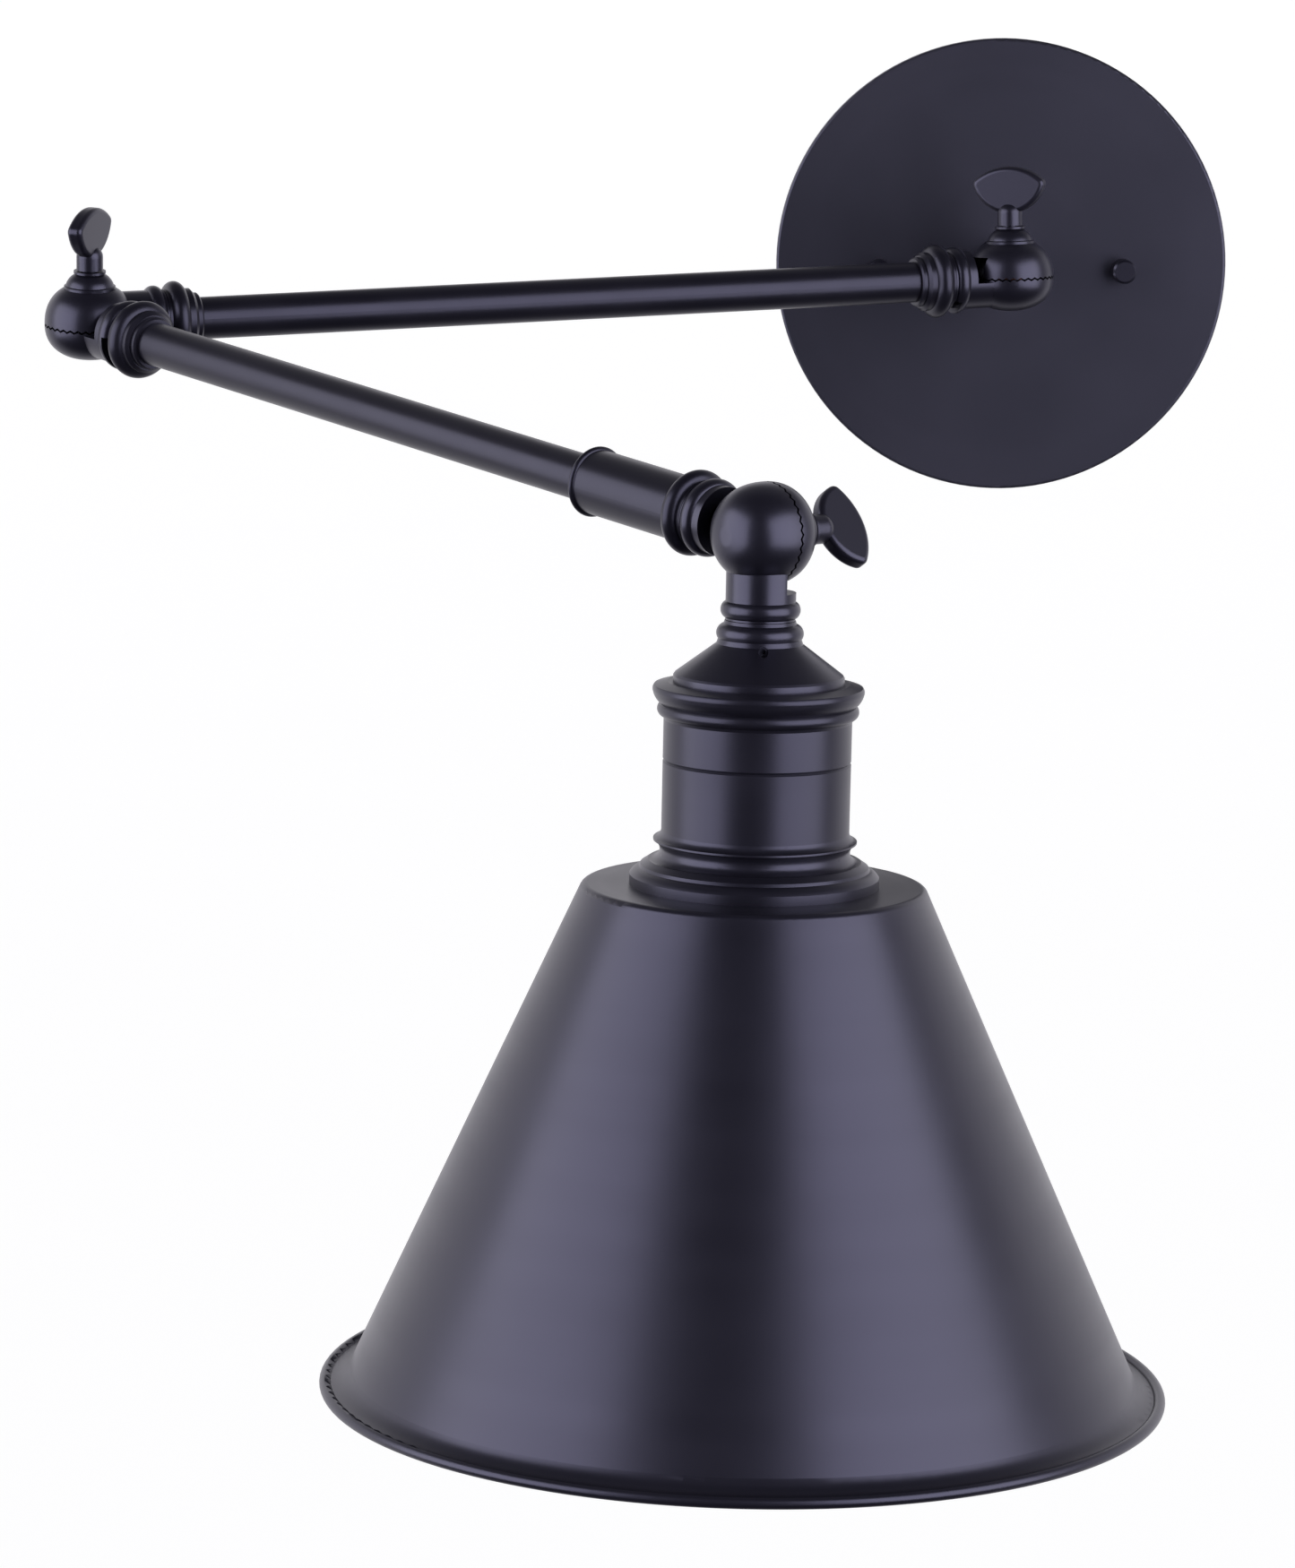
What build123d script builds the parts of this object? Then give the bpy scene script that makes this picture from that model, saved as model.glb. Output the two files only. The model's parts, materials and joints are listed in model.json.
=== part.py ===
from build123d import *
import os
from math import cos, radians, sin

os.makedirs("parts", exist_ok=True)

# Swing arm wall sconce, in millimetres and degrees.
# The wall is the plane Y = 0 and the sconce stands out of it towards -Y, with +X to the right
# and +Z up.  The origin is the centre of the wall plate's back face.

# ---- driving dimensions ----
tube_d = 13.0
tube_wall = 1.2
arm_length = 307.7
ball_r = 13.8
plate_r = 75.0
stand_off = 55.0
stem_drop = 0.9
shade_rim_r = 114.8
shade_top_r = 46.5

# ---- rest pose ----
wall_knuckle_roll = -1.44
arm_1_yaw = -159.76
arm_2_twist = -8.77
arm_2_yaw = 110.59
tilt_twist = -95.10
shade_tilt = 83.54
key_turns = {"j1": -19.0, "j2": 51.0, "j3": 50.0}

# ---- fits ----
slip = 0.02
running = 0.05
seam_gap = 0.05
swivel_gap = 0.15

# ---- knuckle ball ----
upper_height = 12.8
lower_heights = {"j1": 10.8, "j2": 10.8, "j3": 13.4}
ball_bulge = 2.3
seam_shifts = {"j1": 0.0, "j2": 0.0, "j3": 1.7}
cavity_r = 10.2
dome_wall = 3.8
cavity_limit = 8.4
window_heights = {"j1": 7.0, "j2": 0.0, "j3": 0.0}
boss_r = 4.8
key_r = 2.5
key_hole_r = key_r + 0.08
key_thread_r = key_r + running
seat_z = 11.0
tooth_count = 36
tooth_depth = 0.6
tooth_width = 2.2
ledge = 0.9
washer_t = 1.0
boss_gap = 0.55
key_hole_depth = 9.4

# ---- neck, measured outwards from the ball's centre ----
neck_r = 9.4
full_round_x = 15.6
neck_bead_x = 20.3
neck_bead_r = 10.7
neck_end_x = 23.0
spigot_x = 18.2
spigot_r = 7.0
wire_r = 5.3
snap_x = 19.4
snap_t = 0.7
snap_in_r = 6.25
snap_out_r = 7.8
slot_span = 100.0
slot_middles = {"j1": -90.0, "arm_1": -90.0, "arm_2": 225.0, "j3": 200.0, "head": 90.0}
pin_leads = {"j1": 0.0, "arm_1": 0.0, "arm_2": 0.0, "j3": 0.0, "head": 30.0}
pin_r = 0.85
pin_radius = 8.3

# ---- end fittings of the arms ----
collar_x = 26.8
collar_half = 3.0
collar_r = 11.8
step_1_r = 9.45
step_1_x = 32.4
step_2_r = 8.0
step_2_x = 34.2
tube_stop_x = 26.0

# ---- sleeve on the lower arm ----
sleeve_r = 9.0
sleeve_wall = 0.95
sleeve_start_x = 29.6
sleeve_end_x = 69.3
sleeve_lip_r = 9.85

# ---- thumb key ----
bell_r = 7.85
bell_neck_r = 4.4
bell_flange_r = 4.9
bell_top_z = 16.5
stem_r = 4.05
stem_top_z = 24.2
wing_half = 12.1
wing_side_z = 30.9
wing_top_z = 35.8
wing_bottom_z = 20.8
wing_t = 4.8

# ---- wall plate ----
plate_depth = 5.0
plate_wall = 1.4
nut_spacing = 81.5
nut_drop = 1.9
nut_r = 3.95
nut_height = 8.0
screw_r = 2.0
foot_r = 10.0
nipple_r = 4.9
nipple_bore_r = 3.5
crossbar_l = 104.0
crossbar_w = 22.0
crossbar_t = 1.8
box_slot_spacing = 79.4
box_slot_w = 4.6
box_slot_l = 14.2

# ---- shade head, measured down the shade's axis from the third ball's centre ----
head_collar_x = 26.6
head_collar_half = 2.8
head_collar_r = 11.7
shoulder_start_x = 29.4
shoulder_start_r = 11.6
shoulder_end_x = 37.6
shoulder_end_r = 22.5
shoulder_rim_r = 22.9
set_screw_x = 30.2
set_screw_r = 1.3
set_screw_angle = 218.0
cup_top_x = 39.9
cup_r = 25.2
cup_wall = 1.5
cup_lip_x = 41.4
cup_lip_r = 28.3
cup_split_x = 61.0
cup_bottom_x = 80.0
gallery_ridge_r = 27.3
gallery_r = 33.5
shade_top_x = 94.6
shade_t = 1.1
shade_hole_r = 20.3
shade_cone_end_x = 228.3
shade_cone_end_r = 106.4
rim_bead_x = 232.7
rim_bead_r = 1.6
holder_r = 20.0
holder_mouth_x = 108.0
holder_bore_r = 14.6
shell_r = 14.3
shell_t = 0.5


def frame_of(parent, *moves):
    """The frame reached from a parent frame by a chain of moves."""
    for move in moves:
        parent = parent * move
    return parent


def save(name, shape, frame):
    """Place a shape modelled in a local frame and write it as one node."""
    placed = frame * shape
    placed.label = name
    export_step(placed, "parts/" + name + ".step")


def turned(points, axis=Axis.X):
    """A solid of revolution about X from (distance along X, radius) corners."""
    return revolve(make_face(Polyline(*points, close=True)), axis)


def rod(radius, start, end):
    """A cylinder lying along X."""
    return turned([(start, 0), (end, 0), (end, radius), (start, radius)])


def bead(centre, half_width, peak_r, root_r):
    """A rounded ring around X with an elliptical section."""
    return revolve(Pos(centre, root_r) * Ellipse(half_width, peak_r - root_r), Axis.X)


def upright(radius, low, high):
    """A cylinder standing along Z."""
    return Pos(0, 0, low) * Cylinder(radius, high - low, align=(Align.CENTER, Align.CENTER, Align.MIN))


def block(x0, x1, y0, y1, z0, z1):
    """A box between two corners."""
    return Pos((x0 + x1) / 2, (y0 + y1) / 2, (z0 + z1) / 2) * Box(x1 - x0, y1 - y0, z1 - z0)


def sector(radius, start, end, middle_angle, span):
    """A wedge around X, between two planes, that opens about an angle measured from +Y."""
    half = radians(span / 2)
    corner = radius * 1.2
    face = Polygon((0, 0), (corner * cos(half), -corner * sin(half)), (corner * 1.4, 0),
                   (corner * cos(half), corner * sin(half)), align=None)
    return Rot(middle_angle, 0, 0) * extrude(Plane.YZ.offset(start) * face, amount=end - start)


# ---- knuckle ----

def dome(height):
    """One half of the ball, seam down: its outline is a superellipse."""
    corners = 9
    outline = []
    for k in range(corners):
        angle = radians(90 * k / (corners - 1))
        across = max(cos(angle), 0) ** (2 / ball_bulge) if k < corners - 1 else 0
        outline.append((ball_r * across, height * sin(angle) ** (2 / ball_bulge)))
    curve = Spline(outline, tangents=[(0, 1), (-1, 0)])
    face = make_face([curve, Line(outline[-1], (0, 0)), Line((0, 0), outline[0])])
    return revolve(Plane.XZ * face, Axis.Z)


def serrations(phase):
    """The notches between the radial teeth, cut up into a seam face."""
    root = seam_gap - 0.01
    tip = seam_gap + tooth_depth
    face = Polygon((-tooth_width / 2, root), (tooth_width / 2, root), (0, tip), align=None)
    notch = extrude(Plane.YZ.offset(cavity_r - 0.7) * face, amount=5)
    pitch = 360 / tooth_count
    return [Rot(0, 0, phase + k * pitch) * notch for k in range(tooth_count)]


def knuckle_half(height, seam, hole_r, hole_top, phase, slot_angle):
    """Half of a knuckle with its neck along +X and its seam facing down.

    The height and the seam are measured from the neck's axis.  The neck is full round only
    beyond the ball.  Beside the ball it is cut flat above the seam, so that the other half's
    neck can swing past.
    """
    shell = Pos(0, 0, seam) * dome(height - seam) - block(-20, 20, -20, 20, -20, seam + seam_gap)
    neck = rod(neck_r, 0, neck_end_x) + bead(neck_bead_x, 2.4, neck_bead_r, neck_r - 0.8)
    neck -= block(-20, full_round_x, -20, 20, -20, seam + ledge)
    cavity_top = min(height - dome_wall, cavity_limit)
    cavity = upright(cavity_r, -5, cavity_top) - upright(boss_r, seam + boss_gap, height)
    half = shell + neck - cavity - upright(hole_r, -5, hole_top)
    half -= rod(wire_r, boss_r + 2.0, spigot_x)
    half -= block(boss_r + 2.0, full_round_x - 1.0, -wire_r, wire_r, -20, 0)
    half -= rod(spigot_r + running, spigot_x - 0.3, neck_end_x + 1)
    half -= rod(snap_out_r + 0.1, snap_x - 0.5, snap_x + 0.5)
    slot = sector(neck_bead_r, neck_end_x - 2.1, neck_end_x + 1, slot_angle, slot_span)
    half -= slot - rod(pin_radius - pin_r - 0.15, 0, 40)
    return half - Pos(0, 0, seam) * Compound(children=serrations(phase))


def upper_half(seam, window_height, window_angle, slot_angle):
    """The key-side half.  A window for the leads, where there is one, faces the other half's neck."""
    half = knuckle_half(upper_height, seam, key_hole_r, 20, 0, slot_angle)
    half -= upright(9.5, seat_z, upper_height + 1)
    if window_height > 0:
        half -= Rot(0, 0, window_angle) * block(8.6, 16, -6, 6, seam - 1, window_height)
    return half


def lower_half(height, seam, phase, slot_angle):
    """The far half, turned over so that its seam faces up, with a blind threaded hole."""
    half = knuckle_half(height, -seam, key_thread_r, key_hole_depth, phase, slot_angle)
    return Rot(180, 0, 0) * half


def key_washer():
    """The fibre washer that the two bosses squeeze."""
    return upright(boss_r - 0.1, -boss_gap, washer_t - boss_gap) - upright(key_r + 0.15, -1, 1)


def bell_cap():
    """The flared cap between the ball and the key."""
    outline = [
        Line((key_hole_r, seat_z), (bell_r, seat_z)),
        Line((bell_r, seat_z), (bell_r, seat_z + 0.8)),
        Line((bell_r, seat_z + 0.8), (bell_r - 0.5, seat_z + 1.1)),
        ThreePointArc((bell_r - 0.5, seat_z + 1.1), (6.35, 14.0), (bell_neck_r, bell_top_z - 1.0)),
        Line((bell_neck_r, bell_top_z - 1.0), (bell_flange_r, bell_top_z - 0.7)),
        Line((bell_flange_r, bell_top_z - 0.7), (bell_flange_r, bell_top_z)),
        Line((bell_flange_r, bell_top_z), (key_hole_r, bell_top_z)),
        Line((key_hole_r, bell_top_z), (key_hole_r, seat_z)),
    ]
    return revolve(Plane.XZ * make_face(outline), Axis.Z)


def thumb_key():
    """The key: a threaded shank, a stem with a rounded shoulder and an eye-shaped wing."""
    shank = upright(key_r, 0.8 - key_hole_depth, bell_top_z + 0.5)
    stem = upright(stem_r, bell_top_z + 0.4, stem_top_z)
    stem = fillet(stem.edges().group_by(Axis.Z)[-1], 3.4)
    left = (-wing_half, wing_side_z)
    right = (wing_half, wing_side_z)
    top_arc = ThreePointArc(left, (0, wing_top_z), right)
    bottom_arc = ThreePointArc(right, (0, wing_bottom_z), left)
    eye = make_face([top_arc, bottom_arc])
    wing = extrude(Plane.XZ * eye, amount=wing_t / 2, both=True)
    wing = fillet(wing.edges().filter_by(Axis.Y), 2.2)
    faces = [wing_t / 2, -wing_t / 2]
    rims = [edge for edge in wing.edges() if min(abs(edge.center().Y - y) for y in faces) < 0.01]
    return shank + stem + fillet(rims, 1.5)


# ---- arm parts, modelled along +X from a ball's centre ----

def spigot():
    """The hollow spigot that turns inside a knuckle's neck, with its snap ring groove."""
    groove = rod(spigot_r + 1, snap_x - 0.45, snap_x + 0.45) - rod(snap_in_r - 0.05, 0, 40)
    return rod(spigot_r, spigot_x, neck_end_x + swivel_gap + 0.5) - groove


def pin_hole():
    return Pos(0, pin_radius, 0) * rod(pin_r + slip, neck_end_x, collar_x)


def end_fitting(slot_angle):
    """The turned end of an arm: spigot, large bead and two steps down to the tube."""
    start = neck_end_x + swivel_gap
    body = spigot() + turned([(start, 0), (start, step_1_r), (step_1_x - 1, step_1_r),
                              (step_1_x, step_1_r - 1), (step_1_x, step_2_r), (step_2_x - 0.5, step_2_r),
                              (step_2_x, step_2_r - 0.5), (step_2_x, 0)])
    body += bead(collar_x, collar_half, collar_r, step_1_r - 0.9)
    body -= rod(wire_r, 0, 60) + rod(tube_d / 2 + slip, tube_stop_x, 60)
    return body - Rot(slot_angle, 0, 0) * pin_hole()


def sleeve_fitting(slot_angle):
    """The end fitting that carries the sleeve: its second step is inside the sleeve."""
    start = neck_end_x + swivel_gap
    hub_r = sleeve_r - sleeve_wall - slip
    body = spigot() + turned([(start, 0), (start, step_1_r), (sleeve_start_x, step_1_r),
                              (sleeve_start_x, hub_r), (step_2_x + 2, hub_r), (step_2_x + 2, 0)])
    body += bead(collar_x, collar_half - 0.25, collar_r, step_1_r - 0.9)
    body -= rod(wire_r, 0, 60) + rod(tube_d / 2 + slip, tube_stop_x, 60)
    return body - Rot(slot_angle, 0, 0) * pin_hole()


def stop_pin(slot_angle):
    """The pin that runs in the neck's slot and limits the swivel."""
    return Rot(slot_angle, 0, 0) * Pos(0, pin_radius, 0) * rod(pin_r, neck_end_x - 1.8, collar_x - 0.3)


def snap_ring():
    """The split ring that keeps a spigot in its neck."""
    ring = rod(snap_out_r, snap_x - snap_t / 2, snap_x + snap_t / 2) - rod(snap_in_r, 0, 40)
    return ring - block(0, 40, -1.2, 1.2, -12, 0)


def arm_tube():
    ends = (tube_stop_x + 0.1, arm_length - tube_stop_x - 0.1)
    return rod(tube_d / 2, *ends) - rod(tube_d / 2 - tube_wall, 0, arm_length)


def arm_sleeve():
    """The sleeve over the end of the lower arm, closed down to the tube behind its rolled lip."""
    sleeve = turned([(sleeve_start_x, 0), (sleeve_end_x, 0), (sleeve_end_x, sleeve_r - 0.3),
                     (sleeve_end_x - 0.3, sleeve_r), (sleeve_start_x, sleeve_r)])
    sleeve += bead(sleeve_end_x - 1.1, 1.1, sleeve_lip_r, sleeve_r - 0.5)
    sleeve -= rod(sleeve_r - sleeve_wall, 0, sleeve_end_x - 3)
    return sleeve - rod(tube_d / 2 + slip, 0, 80)


# ---- wall parts, modelled along +X from the first ball's centre towards the wall ----

def wall_fitting():
    """The fixed fitting behind the first knuckle.  It is slimmer than the arms' fittings."""
    foot = stand_off - plate_depth
    start = neck_end_x + swivel_gap
    body = spigot() + turned([(start, 0), (start, step_1_r), (step_1_x - 1, step_1_r),
                              (step_1_x, step_1_r - 1), (step_1_x, step_2_r), (foot - 3, step_2_r),
                              (foot - 1.5, foot_r - 0.4), (foot, foot_r), (foot, 0)])
    body += bead(collar_x, collar_half, foot_r, step_1_r - 0.9)
    body -= rod(wire_r, 0, 34) + rod(nipple_r + slip, 34, 60)
    return body - pin_hole()


def wall_nipple():
    """The hollow threaded nipple that joins the fitting, the plate and the crossbar."""
    return rod(nipple_r, 34.2, stand_off - 0.2) - rod(nipple_bore_r, 0, 60)


def jam_nut():
    """The thin nut behind the crossbar."""
    return hex_nut(1.5, stand_off - plate_depth + plate_wall + crossbar_t)


def wall_plate():
    """A shallow round pan with a rolled front edge, drilled for the nipple and the two screws."""
    plate = Rot(90, 0, 0) * upright(plate_r, 0, plate_depth)
    plate = fillet(plate.edges().group_by(Axis.Y)[0], 1.0)
    plate -= Rot(90, 0, 0) * upright(plate_r - plate_wall, -1, plate_depth - plate_wall)
    plate -= Pos(0, 0, -stem_drop) * Rot(90, 0, 0) * upright(nipple_r + 0.15, -1, 10)
    for x in (-nut_spacing / 2, nut_spacing / 2):
        plate -= Pos(x, 0, -nut_drop) * Rot(90, 0, 0) * upright(screw_r + 0.2, -1, 10)
    return plate


def crossbar():
    """The cross strap behind the plate: nipple hole, two tapped holes and two slots for the wall box."""
    front = plate_depth - plate_wall
    half_l = crossbar_l / 2
    half_w = crossbar_w / 2
    bar = block(-half_l, half_l, -front, -front + crossbar_t, -half_w, half_w)
    bar += Rot(0, 90, 0) * bar
    bar = fillet(bar.edges().filter_by(Axis.Y), 3)
    bar -= Rot(90, 0, 0) * upright(nipple_r + slip, -1, 10)
    screw_hole = Rot(90, 0, 0) * upright(screw_r + slip, -1, 10)
    slot = extrude(SlotOverall(box_slot_l, box_slot_w), amount=20, both=True)
    slot = Rot(0, 90, 0) * Rot(90, 0, 0) * slot
    for side in (-1, 1):
        bar -= Pos(side * nut_spacing / 2, 0, stem_drop - nut_drop) * screw_hole
        bar -= Pos(0, 0, side * box_slot_spacing / 2) * slot
    return bar


def fixture_screw():
    """A headless stud screwed into the crossbar."""
    back = plate_depth - plate_wall - crossbar_t - 0.2
    return Rot(90, 0, 0) * upright(screw_r, back, plate_depth + nut_height - 1.5)


def cap_nut():
    """A flat-faced round nut with a blind hole."""
    nut = Rot(90, 0, 0) * upright(nut_r, plate_depth, plate_depth + nut_height)
    nut = chamfer(nut.edges().group_by(Axis.Y)[0], 0.7)
    return nut - Rot(90, 0, 0) * upright(screw_r + slip, 0, plate_depth + nut_height - 1.3)


# ---- shade head, modelled along +X down the shade's axis ----

def neck_cap(slot_angle):
    """The cap under the third knuckle: spigot, bead and a flared shoulder over the cup."""
    start = neck_end_x + swivel_gap
    wall = 1.6
    body = spigot() + turned([(start, 0), (start, 9.5), (shoulder_start_x, shoulder_start_r),
                              (shoulder_end_x, shoulder_end_r), (shoulder_end_x + 0.6, shoulder_rim_r),
                              (cup_top_x, shoulder_rim_r), (cup_top_x, 0)])
    body += bead(head_collar_x, head_collar_half, head_collar_r, 8.6)
    body -= turned([(shoulder_start_x + 4, 0), (shoulder_start_x + 4, shoulder_start_r - 1.5),
                    (shoulder_end_x + 1, shoulder_end_r - wall), (cup_top_x + 1, shoulder_end_r - wall),
                    (cup_top_x + 1, 0)])
    body -= rod(nipple_bore_r, 0, 60) + rod(nipple_r + slip, 25.5, 60)
    body -= set_screw_place * upright(set_screw_r + slip, nipple_r, 20)
    return body - Rot(slot_angle, 0, 0) * pin_hole()


def set_screw():
    """The socket set screw that locks the cap to its nipple."""
    top = shoulder_start_r - 0.2
    body = upright(set_screw_r, nipple_r + running, top)
    socket = extrude(Plane.XY.offset(top - 1.4) * RegularPolygon(0.8, 6), amount=3)
    return set_screw_place * (body - socket)


def head_nipple():
    return rod(nipple_r, 25.7, 54) - rod(nipple_bore_r, 0, 80)


def hex_nut(thickness, start):
    nut = extrude(Plane.YZ.offset(start) * RegularPolygon(8.0, 6), amount=thickness)
    return nut - rod(nipple_r + slip, 0, 100)


def cup_upper():
    """The upper cup shell with its sharp top lip; its top plate hangs on the nipple."""
    crease_x = cup_lip_x + 4.3
    bead_end_x = cup_lip_x + 7.7
    wall_x = cup_lip_x + 8.6
    outline = [
        Line((cup_top_x, 0), (cup_top_x, 24.4)),
        Line((cup_top_x, 24.4), (cup_lip_x - 0.6, cup_lip_r - 0.4)),
        ThreePointArc((cup_lip_x - 0.6, cup_lip_r - 0.4), (cup_lip_x + 0.2, cup_lip_r),
                      (cup_lip_x + 1.2, cup_lip_r - 0.1)),
        ThreePointArc((cup_lip_x + 1.2, cup_lip_r - 0.1), (cup_lip_x + 3.2, 27.3), (crease_x, 26.2)),
        ThreePointArc((crease_x, 26.2), (crease_x + 1.7, 27.0), (bead_end_x, 25.8)),
        Line((bead_end_x, 25.8), (bead_end_x + 0.1, 25.5)),
        Line((bead_end_x + 0.1, 25.5), (wall_x, cup_r)),
        Line((wall_x, cup_r), (cup_split_x - 0.5, cup_r)),
        Line((cup_split_x - 0.5, cup_r), (cup_split_x, cup_r - 0.4)),
        Line((cup_split_x, cup_r - 0.4), (cup_split_x, 0)),
        Line((cup_split_x, 0), (cup_top_x, 0)),
    ]
    body = revolve(make_face(outline), Axis.X)
    return body - rod(cup_r - cup_wall, cup_top_x + 2, 80) - rod(nipple_r + slip, 0, 80)


def cup_lower():
    """The lower cup shell with a tongue inside the upper shell."""
    body = turned([(cup_split_x, 0), (cup_split_x, cup_r - 0.4), (cup_split_x + 0.5, cup_r),
                   (cup_bottom_x, cup_r), (cup_bottom_x, 0)])
    body += rod(cup_r - cup_wall - slip, cup_split_x - 4, cup_split_x + 1)
    return body - rod(cup_r - cup_wall - 1.3, 0, 100)


def gallery():
    """The moulded ring between the cup and the shade: a ridge, a cove and two steps."""
    ridge_x = cup_bottom_x + 2.2
    cove_x = ridge_x + 3.7
    step_x = cove_x + 4.1
    outline = [
        Line((cup_bottom_x, 0), (cup_bottom_x, cup_r)),
        ThreePointArc((cup_bottom_x, cup_r), (ridge_x - 0.7, 25.9), (ridge_x, gallery_ridge_r)),
        Line((ridge_x, gallery_ridge_r), (ridge_x + 0.5, gallery_ridge_r)),
        ThreePointArc((ridge_x + 0.5, gallery_ridge_r), (ridge_x + 1.7, 25.9), (cove_x, 25.6)),
        ThreePointArc((cove_x, 25.6), (cove_x + 1.3, 26.4), (cove_x + 2.0, 28.6)),
        Line((cove_x + 2.0, 28.6), (step_x - 0.8, 30.6)),
        Line((step_x - 0.8, 30.6), (step_x, 31.0)),
        ThreePointArc((step_x, 31.0), (step_x + 0.7, 32.3), (step_x + 2.0, gallery_r)),
        Line((step_x + 2.0, gallery_r), (shade_top_x, gallery_r)),
        Line((shade_top_x, gallery_r), (shade_top_x, 0)),
        Line((shade_top_x, 0), (cup_bottom_x, 0)),
    ]
    return revolve(make_face(outline), Axis.X) - rod(holder_r + slip, 0, 120)


def shade():
    """The spun shade: flat top, straight cone, flared lip and a rolled bead at the rim."""
    lip_r = shade_rim_r - 2 * rim_bead_r + 0.4
    flare = (shade_cone_end_x + 2.6, shade_cone_end_r + 2.2)
    inside_low = (shade_cone_end_x, shade_cone_end_r - shade_t - 0.1)
    inside_high = (shade_top_x + shade_t + 0.4, shade_top_r - 1.2)
    outline = [
        Line((shade_top_x, shade_hole_r), (shade_top_x, shade_top_r - 1.6)),
        ThreePointArc((shade_top_x, shade_top_r - 1.6), (shade_top_x + 0.4, shade_top_r - 0.5),
                      (shade_top_x + 1.4, shade_top_r + 0.25)),
        Line((shade_top_x + 1.4, shade_top_r + 0.25), (shade_cone_end_x, shade_cone_end_r)),
        ThreePointArc((shade_cone_end_x, shade_cone_end_r), flare, (rim_bead_x - 0.6, lip_r)),
        Line((rim_bead_x - 0.6, lip_r), (rim_bead_x + 0.5, lip_r)),
        ThreePointArc((rim_bead_x + 0.5, lip_r), (flare[0] + 0.8, flare[1] - 0.7), inside_low),
        Line(inside_low, inside_high),
        Line(inside_high, (shade_top_x + shade_t, shade_top_r - 1.8)),
        Line((shade_top_x + shade_t, shade_top_r - 1.8), (shade_top_x + shade_t, shade_hole_r)),
        Line((shade_top_x + shade_t, shade_hole_r), (shade_top_x, shade_hole_r)),
    ]
    body = revolve(make_face(outline), Axis.X)
    return body + revolve(Pos(rim_bead_x, shade_rim_r - rim_bead_r) * Circle(rim_bead_r), Axis.X)


def lamp_holder():
    """The insulating lamp holder: a stepped body on the nipple with an open mouth below the shade."""
    body = turned([(52, 0), (52, 12), (60, 16), (66, holder_r),
                   (holder_mouth_x, holder_r), (holder_mouth_x, 0)])
    body -= rod(holder_bore_r, 72, 120)
    return body - rod(nipple_r + slip, 0, 62)


def screw_shell():
    """The threaded shell that takes the bulb, as a stack of rounded thread crests."""
    shell = rod(shell_r, 73, 98) - rod(shell_r - shell_t, 0, 120)
    for k in range(6):
        x = 75.5 + 3.6 * k
        shell -= revolve(Pos(x, shell_r + 0.35) * Circle(0.7), Axis.X)
    return shell


def centre_contact():
    """The contact tongue at the bottom of the holder."""
    disc = rod(4.5, 72, 73)
    return disc + rod(2.4, 73, 75.5)


def shade_ring():
    """The ribbed ring that clamps the shade to the holder from below."""
    start = shade_top_x + shade_t
    ring = rod(27.0, start, start + 3) + rod(24.0, start + 3, start + 8)
    for k in range(18):
        ring -= Rot(20 * k, 0, 0) * Pos(start + 6.5, 24.3, 0) * Rot(0, 90, 0) * Cylinder(1.3, 7)
    return ring - rod(holder_r + slip, 0, 130)


# ---- frames of the rest pose ----

set_screw_place = Rot(set_screw_angle, 0, 0) * Pos(set_screw_x, 0, 0) * Rot(-90, 0, 0)
wall = Location((0, 0, 0))
stem = wall * Pos(0, 0, -stem_drop)
j1 = frame_of(stem, Pos(0, -stand_off, 0), Rot(0, wall_knuckle_roll, 0))
j1_wall_side = j1 * Rot(0, 0, 90)
arm_1 = j1 * Rot(0, 0, arm_1_yaw)
j2 = frame_of(arm_1, Pos(arm_length, 0, 0), Rot(arm_2_twist, 0, 0))
j2_arm_1_side = j2 * Rot(0, 0, 180)
arm_1_end = frame_of(arm_1, Pos(arm_length, 0, 0), Rot(0, 0, 180))
arm_2 = j2 * Rot(0, 0, arm_2_yaw)
j3 = frame_of(arm_2, Pos(arm_length, 0, 0), Rot(tilt_twist, 0, 0))
j3_arm_2_side = j3 * Rot(0, 0, 180)
arm_2_end = frame_of(arm_2, Pos(arm_length, 0, 0), Rot(0, 0, 180))
head = j3 * Rot(0, 0, shade_tilt)

# wall side
sides = [Pos(side * nut_spacing / 2, 0, -nut_drop) for side in (-1, 1)]
save("wall_plate", wall_plate(), wall)
save("crossbar", crossbar(), stem)
save("fixture_screws", Compound(children=[place * fixture_screw() for place in sides]), wall)
save("cap_nuts", Compound(children=[place * cap_nut() for place in sides]), wall)
save("wall_fitting", wall_fitting(), j1_wall_side)
save("wall_nipple", wall_nipple(), j1_wall_side)
save("nipple_jam_nut", jam_nut(), j1_wall_side)
save("wall_stop_pin", stop_pin(0), j1_wall_side)
save("wall_snap_ring", snap_ring(), j1_wall_side)

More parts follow.
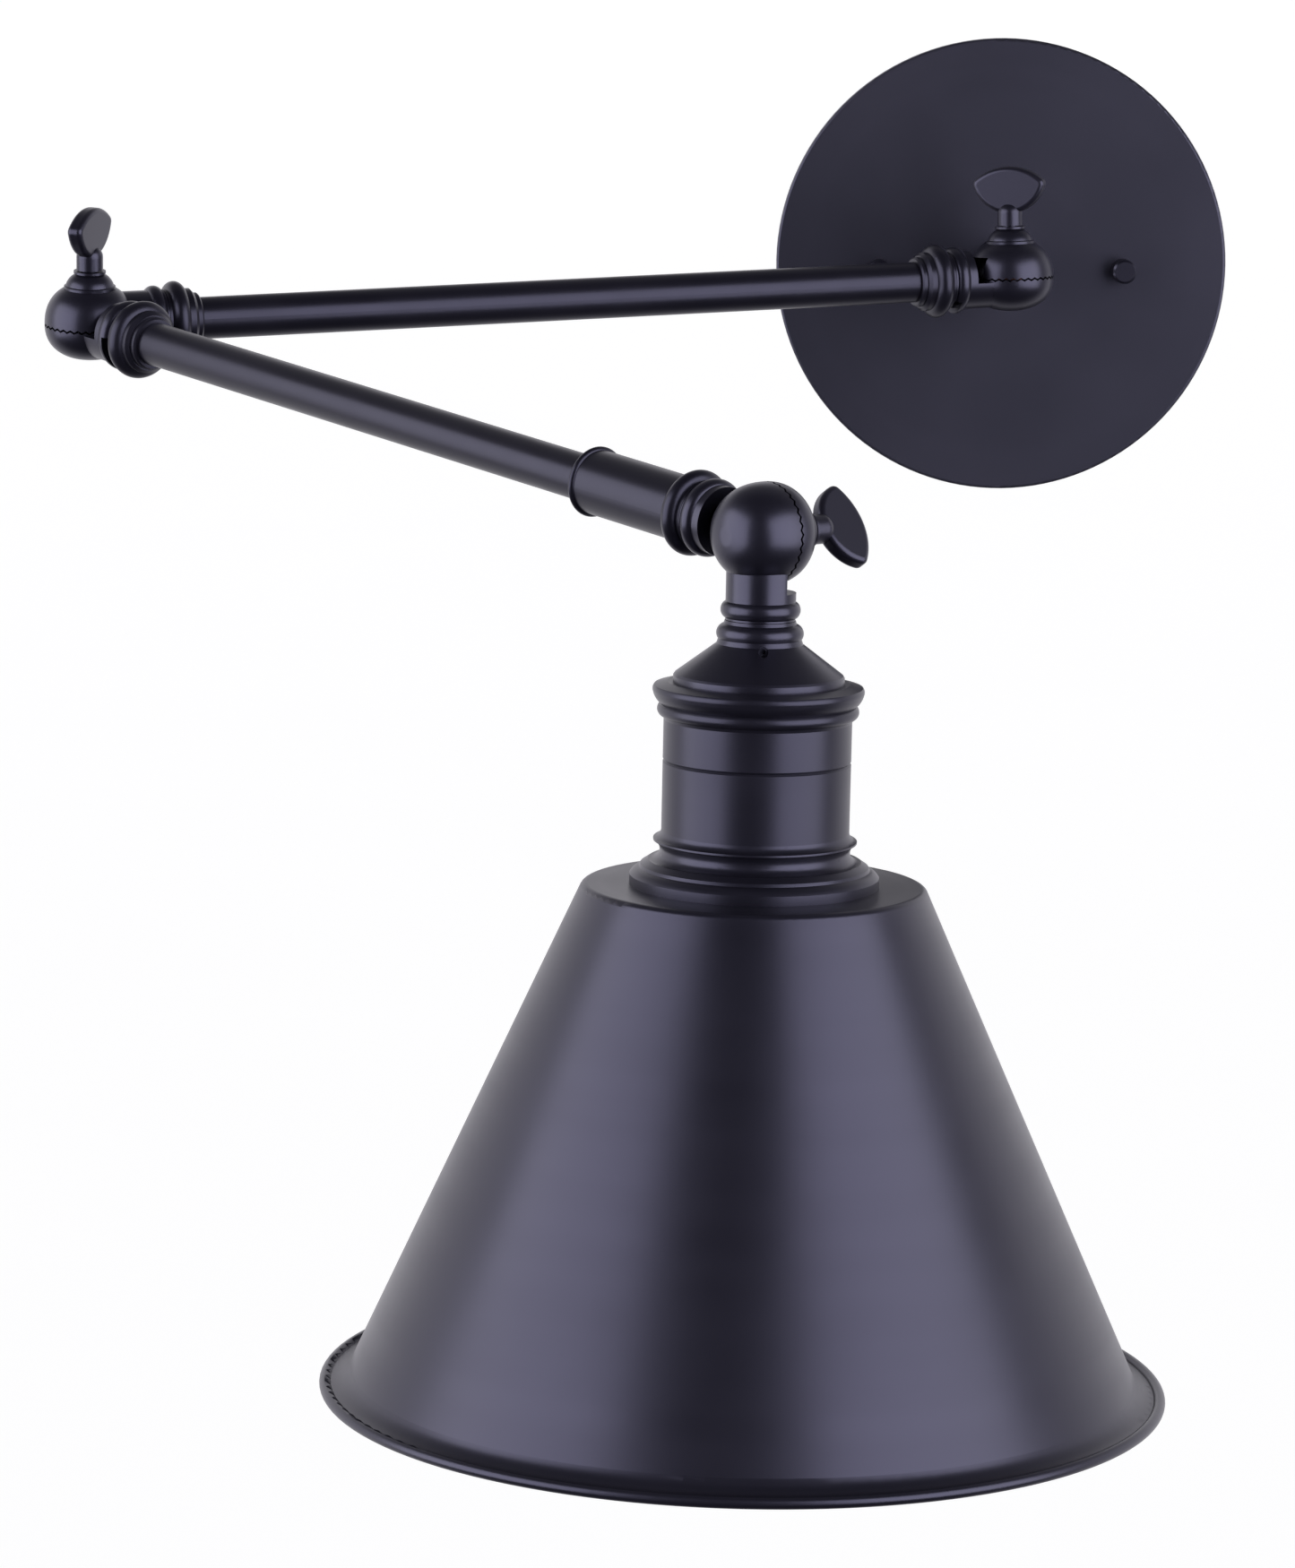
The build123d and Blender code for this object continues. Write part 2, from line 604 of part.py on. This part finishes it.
# knuckles
arm_sides = {"j1": (j1_wall_side, 90.0), "j2": (j2_arm_1_side, 180.0), "j3": (j3_arm_2_side, 180.0)}
far_sides = {"j1": (arm_1, arm_1_yaw), "j2": (arm_2, arm_2_yaw), "j3": (head, shade_tilt)}
upper_slots = {"j1": 0.0, "j2": slot_middles["arm_1"] + arm_2_twist, "j3": slot_middles["j3"] + tilt_twist}
lower_slots = {"j1": slot_middles["j1"], "j2": slot_middles["arm_2"], "j3": slot_middles["head"]}
tooth_offset = 180 / tooth_count
for name, centre in {"j1": j1, "j2": j2, "j3": j3}.items():
    upper_frame, upper_yaw = arm_sides[name]
    lower_frame, lower_yaw = far_sides[name]
    turn = lower_yaw - upper_yaw
    seam = seam_shifts[name]
    far = lower_half(lower_heights[name], seam, turn - tooth_offset, lower_slots[name] - 180)
    near = upper_half(seam, window_heights[name], turn, upper_slots[name])
    save(name + "_upper_half", near, upper_frame)
    save(name + "_lower_half", far, lower_frame)
    save(name + "_washer", key_washer(), centre * Pos(0, 0, seam))
    save(name + "_bell_cap", bell_cap(), centre)
    save(name + "_thumb_key", thumb_key(), centre * Rot(0, 0, key_turns[name]))

# arms
pins = {name: slot_middles[name] + pin_leads[name] for name in slot_middles}
flip = Pos(arm_length, 0, 0) * Rot(0, 0, 180)
for name, frame, near, far in (("arm_1", arm_1, "j1", "arm_1"), ("arm_2", arm_2, "arm_2", "j3")):
    save(name + "_tube", arm_tube(), frame)
    save(name + "_inner_fitting", end_fitting(pins[near]), frame)
    save(name + "_stop_pins", Compound(children=[stop_pin(pins[near]), flip * stop_pin(pins[far])]), frame)
    save(name + "_snap_rings", Compound(children=[snap_ring(), flip * snap_ring()]), frame)
save("arm_1_outer_fitting", end_fitting(pins["arm_1"]), arm_1_end)
save("arm_2_outer_fitting", sleeve_fitting(pins["j3"]), arm_2_end)
save("arm_2_sleeve", arm_sleeve(), arm_2_end)

# shade head
save("neck_cap", neck_cap(pins["head"]), head)
save("neck_stop_pin", stop_pin(pins["head"]), head)
save("neck_snap_ring", snap_ring(), head)
save("neck_set_screw", set_screw(), head)
save("head_nipple", head_nipple(), head)
save("head_nipple_nut", hex_nut(3, cup_top_x + 2), head)
save("cup_upper", cup_upper(), head)
save("cup_lower", cup_lower(), head)
save("shade_gallery", gallery(), head)
save("shade", shade(), head)
save("lamp_holder", lamp_holder(), head)
save("screw_shell", screw_shell(), head)
save("centre_contact", centre_contact(), head)
save("shade_ring", shade_ring(), head)
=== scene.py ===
import json
import math

import bpy
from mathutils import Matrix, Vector


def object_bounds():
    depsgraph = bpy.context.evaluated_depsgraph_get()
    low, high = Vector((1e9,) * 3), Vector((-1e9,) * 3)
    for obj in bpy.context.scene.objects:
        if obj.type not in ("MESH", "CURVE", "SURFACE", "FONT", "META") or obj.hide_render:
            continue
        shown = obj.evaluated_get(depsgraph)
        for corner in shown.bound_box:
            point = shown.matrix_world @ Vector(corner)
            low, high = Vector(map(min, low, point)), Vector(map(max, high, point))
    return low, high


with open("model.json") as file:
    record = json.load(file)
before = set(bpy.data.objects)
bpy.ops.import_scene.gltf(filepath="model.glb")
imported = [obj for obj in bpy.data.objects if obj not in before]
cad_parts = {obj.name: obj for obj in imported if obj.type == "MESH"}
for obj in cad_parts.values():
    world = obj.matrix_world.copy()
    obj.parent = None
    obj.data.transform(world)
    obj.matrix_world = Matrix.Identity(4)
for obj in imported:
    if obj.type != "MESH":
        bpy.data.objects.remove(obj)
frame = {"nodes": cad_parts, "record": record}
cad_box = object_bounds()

# Swing arm wall sconce, in metres.  The wall is Y = 0, the sconce stands out towards -Y.

# ---- camera ----
IMAGE_H = 1750
FOCAL_PX = 6100
SENSOR = 36.0
CAMERA_FROM_PLATE = Vector((-0.11806, -1.83493, 0.11431))
CAMERA_PITCH = math.radians(9.0)

# ---- studio ----
FLOOR_DROP = 2.2
FLOOR_HALF = 300.0
FLOOR_GLOW = 0.96
WHITE = (0.98, 0.98, 0.985, 1)
SURROUND = (1.0, 0.98, 1.02, 1)
DARK_FRONT = (0.060, 0.058, 0.070, 1)
BOX_COLOUR = (0.97, 0.97, 1.0)
BOX_DISTANCE = 2.4
BOX_ELEVATION = 9
BOX_WIDTH = 3.0
BOX_HEIGHT = 2.8

# ---- satin black paint ----
MM = 0.001
SATIN_IOR = 1.60
SATIN_TINT = (0.70, 0.68, 1.0, 1)
ROUGHNESS_SPREAD = (-0.025, 0.03)
SPECK_COLOUR = (0.05, 0.05, 0.055, 1)

# ---- the object's own axes ----
RECORD = frame["record"]


def joint_named(name):
    """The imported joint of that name."""
    for joint in RECORD["behaviour"]["joints"]:
        if joint["name"] == name:
            return joint


def line_of(joint_name):
    """(point, unit direction) of a joint's axis at rest."""
    joint = joint_named(joint_name)
    return Vector(joint["pos_m"]), Vector(joint["axis"]).normalized()


HEAD_AXIS = line_of("shade_swivel")
PLATE_AXIS = (Vector((0, 0, 0)), Vector((0, -1, 0)))
ARM_1_AXIS = line_of("arm_1_inner_swivel")
ARM_2_AXIS = line_of("arm_2_inner_swivel")
KNUCKLE_AXES = {
    "j1": line_of("wall_knuckle_turn"),
    "j2": line_of("elbow_turn"),
    "j3": line_of("shade_tilt"),
}


# ---- shader helpers ----

class Nodes:
    """A small wrapper that adds nodes to a tree and links them."""

    def __init__(self, tree):
        self.tree = tree
        tree.nodes.clear()

    def add(self, kind, **settings):
        node = self.tree.nodes.new(kind)
        for key, value in settings.items():
            setattr(node, key, value)
        return node

    def link(self, source, target):
        self.tree.links.new(source, target)

    def feed(self, socket, value):
        """Set a socket to a number or colour, or link it to another socket."""
        if isinstance(value, bpy.types.NodeSocket):
            self.link(value, socket)
        else:
            socket.default_value = value

    def math(self, operation, a, b=0.0, c=0.0, clamp=False):
        node = self.add("ShaderNodeMath", operation=operation, use_clamp=clamp)
        for socket, value in zip(node.inputs, (a, b, c)):
            self.feed(socket, value)
        return node.outputs[0]

    def vector(self, operation, a, b=(0, 0, 0)):
        node = self.add("ShaderNodeVectorMath", operation=operation)
        self.feed(node.inputs[0], a)
        self.feed(node.inputs[1], b)
        return node

    def noise(self, vector, scale, detail=2.0, roughness=0.5):
        node = self.add("ShaderNodeTexNoise", noise_dimensions="3D")
        self.feed(node.inputs["Vector"], vector)
        self.feed(node.inputs["Scale"], scale)
        self.feed(node.inputs["Detail"], detail)
        self.feed(node.inputs["Roughness"], roughness)
        return node.outputs["Fac"]

    def ramp(self, value, low, high, to_low=0.0, to_high=1.0):
        node = self.add("ShaderNodeMapRange", clamp=True)
        for socket, item in zip(node.inputs, (value, low, high, to_low, to_high)):
            self.feed(socket, item)
        return node.outputs[0]

    def mix(self, factor, a, b):
        node = self.add("ShaderNodeMix", data_type="RGBA")
        self.feed(node.inputs["Factor"], factor)
        self.feed(node.inputs[6], a)
        self.feed(node.inputs[7], b)
        return node.outputs[2]

    def bump(self, height, distance, strength=1.0, normal=None):
        node = self.add("ShaderNodeBump")
        self.feed(node.inputs["Height"], height)
        self.feed(node.inputs["Distance"], distance)
        self.feed(node.inputs["Strength"], strength)
        if normal is not None:
            self.link(normal, node.inputs["Normal"])
        return node.outputs["Normal"]

    def object_point(self):
        """The point on the piece, in its own rest frame."""
        return self.add("ShaderNodeTexCoord").outputs["Object"]

    def turned(self, axis):
        """(distance along, distance from) an axis, for marks that run round a turned piece."""
        point, direction = axis
        offset = self.vector("SUBTRACT", self.object_point(), tuple(point)).outputs[0]
        along = self.vector("DOT_PRODUCT", offset, tuple(direction)).outputs["Value"]
        across = self.vector("CROSS_PRODUCT", offset, tuple(direction)).outputs[0]
        away = self.vector("LENGTH", across).outputs["Value"]
        return along, away

    def pack(self, x, y, z=0.0):
        node = self.add("ShaderNodeCombineXYZ")
        for socket, value in zip(node.inputs, (x, y, z)):
            self.feed(socket, value)
        return node.outputs[0]


def new_material(name):
    material = bpy.data.materials.new(name)
    material.use_nodes = True
    nodes = Nodes(material.node_tree)
    shader = nodes.add("ShaderNodeBsdfPrincipled")
    output = nodes.add("ShaderNodeOutputMaterial")
    nodes.link(shader.outputs[0], output.inputs["Surface"])
    return material, nodes, shader


def satin_black(name, axis=None, line_depth=0.0, line_spacing=0.5 * MM, roughness=0.34,
                gloss=0.5, painted_light_lift=0.0):
    """Satin black paint.  With an axis it shows the fine lines of the spun or turned metal below.

    Gloss is the strength of the reflections. The lift is a painted lightening added to the black pigment,
    standing in for reflected light rather than a paler paint.
    """
    material, nodes, shader = new_material(name)
    point = nodes.object_point()
    cloud = nodes.noise(point, 22.0, 3.0)
    peel = nodes.noise(point, 1400.0, 2.0)
    dust = nodes.noise(point, 5200.0, 1.0)
    # The lift lightens both blacks: painted light, not a paler pigment.
    deep = (0.0045 + painted_light_lift, 0.0042 + painted_light_lift, 0.0070 + 1.3 * painted_light_lift, 1)
    pale = (0.0065 + painted_light_lift, 0.0060 + painted_light_lift, 0.0095 + 1.3 * painted_light_lift, 1)
    colour = nodes.mix(nodes.ramp(cloud, 0.3, 0.7), deep, pale)
    speck = nodes.ramp(dust, 0.74, 0.80)
    colour = nodes.mix(nodes.math("MULTIPLY", speck, 0.25), colour, SPECK_COLOUR)
    smoothest, roughest = [roughness + spread for spread in ROUGHNESS_SPREAD]
    sheen = nodes.ramp(cloud, 0.25, 0.75, smoothest, roughest)
    normal = nodes.bump(peel, 0.010 * MM, 0.5)
    if axis is not None:
        along, away = nodes.turned(axis)
        lines = nodes.noise(nodes.pack(along, away), 1.0 / line_spacing, 3.0, 0.65)
        bands = nodes.noise(nodes.pack(along, away), 90.0, 2.0)
        normal = nodes.bump(lines, line_depth, 1.0, normal)
        sheen = nodes.math("ADD", sheen, nodes.ramp(bands, 0.3, 0.7, -0.015, 0.02))
    nodes.feed(shader.inputs["Base Color"], colour)
    nodes.feed(shader.inputs["Roughness"], sheen)
    nodes.feed(shader.inputs["Normal"], normal)
    shader.inputs["IOR"].default_value = SATIN_IOR
    shader.inputs["Specular IOR Level"].default_value = gloss
    shader.inputs["Specular Tint"].default_value = SATIN_TINT
    return material


def bare_metal(name, light, dark, roughness, grain=900.0):
    """Plated or bare metal with a fine grain and slight clouding."""
    material, nodes, shader = new_material(name)
    point = nodes.object_point()
    cloud = nodes.noise(point, 160.0, 4.0)
    fine = nodes.noise(point, grain, 3.0)
    nodes.feed(shader.inputs["Base Color"], nodes.mix(nodes.ramp(cloud, 0.3, 0.7), dark, light))
    nodes.feed(shader.inputs["Roughness"], nodes.ramp(fine, 0.3, 0.7, roughness - 0.07, roughness + 0.09))
    nodes.feed(shader.inputs["Normal"], nodes.bump(fine, 0.02 * MM, 0.5))
    shader.inputs["Metallic"].default_value = 1.0
    return material


def glazed(name):
    """White glazed porcelain, a little uneven and warm, with fine dark specks."""
    material, nodes, shader = new_material(name)
    point = nodes.object_point()
    cloud = nodes.noise(point, 60.0, 3.0)
    specks = nodes.ramp(nodes.noise(point, 1500.0, 1.0), 0.76, 0.80)
    colour = nodes.mix(nodes.ramp(cloud, 0.3, 0.7), (0.80, 0.78, 0.73, 1), (0.86, 0.85, 0.81, 1))
    colour = nodes.mix(nodes.math("MULTIPLY", specks, 0.4), colour, (0.35, 0.30, 0.25, 1))
    nodes.feed(shader.inputs["Base Color"], colour)
    nodes.feed(shader.inputs["Roughness"], nodes.ramp(cloud, 0.3, 0.7, 0.14, 0.24))
    nodes.feed(shader.inputs["Normal"], nodes.bump(cloud, 0.15 * MM, 0.4))
    return material


def fibre_sheet(name):
    """Pressed red-brown fibre with short strands."""
    material, nodes, shader = new_material(name)
    point = nodes.object_point()
    strands = nodes.noise(point, 2400.0, 6.0, 0.7)
    colour = nodes.mix(nodes.ramp(strands, 0.35, 0.65), (0.20, 0.065, 0.04, 1), (0.36, 0.14, 0.09, 1))
    nodes.feed(shader.inputs["Base Color"], colour)
    nodes.feed(shader.inputs["Roughness"], nodes.ramp(strands, 0.3, 0.7, 0.65, 0.85))
    nodes.feed(shader.inputs["Normal"], nodes.bump(strands, 0.05 * MM, 0.6))
    return material


def phenolic(name):
    """Black moulded phenolic with faint mottling."""
    material, nodes, shader = new_material(name)
    point = nodes.object_point()
    mottle = nodes.noise(point, 500.0, 4.0)
    colour = nodes.mix(nodes.ramp(mottle, 0.4, 0.65), (0.014, 0.012, 0.011, 1), (0.028, 0.023, 0.020, 1))
    nodes.feed(shader.inputs["Base Color"], colour)
    nodes.feed(shader.inputs["Roughness"], nodes.ramp(mottle, 0.3, 0.7, 0.24, 0.36))
    nodes.feed(shader.inputs["Normal"], nodes.bump(mottle, 0.02 * MM, 0.4))
    return material


# ---- finish every CAD node ----

def axis_for(node):
    """The axis that a node was turned or spun about.  A knuckle's parts follow its key."""
    if node in ("wall_plate", "wall_fitting"):
        return PLATE_AXIS
    for prefix in KNUCKLE_AXES:
        if node.startswith(prefix):
            return KNUCKLE_AXES[prefix]
    if node.startswith("arm_1"):
        return ARM_1_AXIS
    if node.startswith("arm_2"):
        return ARM_2_AXIS
    return HEAD_AXIS


SLOT_OF = {part["node"]: part["material_slot"] for part in RECORD["subparts"]}
PAINTS = {
    # The plate's lift is painted light: its black is lightened to stand in for the bright surround
    # reflected off the plate.
    "plate": {"line_depth": 0.005 * MM, "line_spacing": 0.7 * MM, "roughness": 0.36, "painted_light_lift": 0.011},
    "cup": {"line_depth": 0.006 * MM, "line_spacing": 0.6 * MM, "roughness": 0.35, "gloss": 0.41},
    "spun": {"line_depth": 0.009 * MM, "line_spacing": 0.7 * MM, "roughness": 0.35},
    "arm": {"line_depth": 0.002 * MM, "line_spacing": 0.45 * MM, "roughness": 0.33, "gloss": 0.36},
    "turned": {"line_depth": 0.002 * MM, "line_spacing": 0.45 * MM, "roughness": 0.33},
}
shared = {
    "zinc_steel": bare_metal("zinc_steel", (0.66, 0.65, 0.61, 1), (0.50, 0.49, 0.47, 1), 0.34),
    "spring_steel": bare_metal("spring_steel", (0.62, 0.62, 0.62, 1), (0.40, 0.40, 0.41, 1), 0.24),
    "brass": bare_metal("brass", (0.78, 0.57, 0.27, 1), (0.60, 0.42, 0.18, 1), 0.27),
    "porcelain": glazed("porcelain"),
    "fibre": fibre_sheet("fibre"),
    "phenolic": phenolic("phenolic"),
}


def paint_for(node):
    """The satin black of a node: one material for each node, with that node's turning axis and texture.
    """
    if node.endswith("thumb_key") or node == "cap_nuts":
        return satin_black("satin_black_" + node)
    kind = "turned"
    if node in ("shade", "shade_gallery"):
        kind = "spun"
    elif node == "wall_plate":
        kind = "plate"
    elif node.startswith("cup_"):
        kind = "cup"
    elif node.startswith("arm_"):
        kind = "arm"
    return satin_black("satin_black_" + node, axis_for(node), **PAINTS[kind])


for name, node in frame["nodes"].items():
    slot_name = SLOT_OF[name]
    material = shared.get(slot_name) or paint_for(name)
    node.data.materials.clear()
    node.data.materials.append(material)


# ---- floor ----

def make_floor():
    """A wide pale floor far below the object.  Only the camera sees it."""
    low = cad_box[0]
    height = low[2] - FLOOR_DROP
    mesh = bpy.data.meshes.new("floor")
    signs = [(-1, -1), (1, -1), (1, 1), (-1, 1)]
    corners = [(x * FLOOR_HALF, y * FLOOR_HALF, height) for x, y in signs]
    mesh.from_pydata(corners, [], [(0, 1, 2, 3)])
    floor = bpy.data.objects.new("floor", mesh)
    bpy.context.scene.collection.objects.link(floor)
    material, nodes, shader = new_material("pale_floor")
    tone = nodes.noise(nodes.object_point(), 0.8, 2.0)
    nodes.feed(shader.inputs["Base Color"], nodes.mix(tone, (0.10, 0.10, 0.10, 1), (0.13, 0.13, 0.13, 1)))
    nodes.feed(shader.inputs["Roughness"], 0.9)
    shader.inputs["Emission Color"].default_value = WHITE
    shader.inputs["Emission Strength"].default_value = FLOOR_GLOW
    floor.data.materials.append(material)
    floor.visible_glossy = False
    floor.visible_diffuse = False


make_floor()


# ---- world ----

def make_world():
    """A white surround low behind the object and a dim room elsewhere.  The camera sees plain white."""
    world = bpy.data.worlds.new("studio")
    world.use_nodes = True
    nodes = Nodes(world.node_tree)
    direction = nodes.add("ShaderNodeTexCoord").outputs["Generated"]
    split = nodes.add("ShaderNodeSeparateXYZ")
    nodes.link(direction, split.inputs[0])
    behind = nodes.ramp(split.outputs["Y"], 0.0, 0.45)
    low = nodes.ramp(split.outputs["Z"], -0.95, -0.35, 0.35, 1.0)
    high = nodes.ramp(split.outputs["Z"], 0.35, 0.65, 1.0, 0.15)
    level = nodes.math("MULTIPLY", behind, nodes.math("MULTIPLY", low, high))
    studio = nodes.mix(level, DARK_FRONT, SURROUND)
    seen = nodes.add("ShaderNodeLightPath").outputs["Is Camera Ray"]
    background = nodes.add("ShaderNodeBackground")
    nodes.feed(background.inputs["Color"], nodes.mix(seen, studio, (1, 1, 1, 1)))
    output = nodes.add("ShaderNodeOutputWorld")
    nodes.link(background.outputs[0], output.inputs["Surface"])
    bpy.context.scene.world = world


make_world()


# ---- lights ----

TARGET = Vector([(low + high) / 2 for low, high in zip(*cad_box)])


def softbox(name, azimuth, strength):
    """A rectangular light aimed at the object.  Azimuth 0 is in front, 90 is to the right."""
    light = bpy.data.lights.new(name, "AREA")
    light.shape = "RECTANGLE"
    light.size = BOX_WIDTH
    light.size_y = BOX_HEIGHT
    light.energy = strength * BOX_WIDTH * BOX_HEIGHT * math.pi
    light.color = BOX_COLOUR
    holder = bpy.data.objects.new(name, light)
    a = math.radians(azimuth)
    e = math.radians(BOX_ELEVATION)
    offset = Vector((math.sin(a) * math.cos(e), -math.cos(a) * math.cos(e), math.sin(e)))
    holder.location = TARGET + offset * BOX_DISTANCE
    holder.rotation_euler = (-offset).to_track_quat("-Z", "Y").to_euler()
    bpy.context.scene.collection.objects.link(holder)


softbox("left_box", azimuth=-68, strength=3.3)
softbox("right_box", azimuth=53, strength=3.5)


# ---- camera ----

def make_camera():
    camera = bpy.data.cameras.new("camera")
    camera.sensor_width = SENSOR
    camera.lens = SENSOR * FOCAL_PX / IMAGE_H
    camera.clip_start = 0.05
    camera.clip_end = 1000
    holder = bpy.data.objects.new("camera", camera)
    holder.location = CAMERA_FROM_PLATE
    holder.rotation_euler = (math.pi / 2 - CAMERA_PITCH, 0, 0)
    bpy.context.scene.collection.objects.link(holder)
    bpy.context.scene.camera = holder


make_camera()
bpy.context.scene.view_settings.view_transform = "Standard"
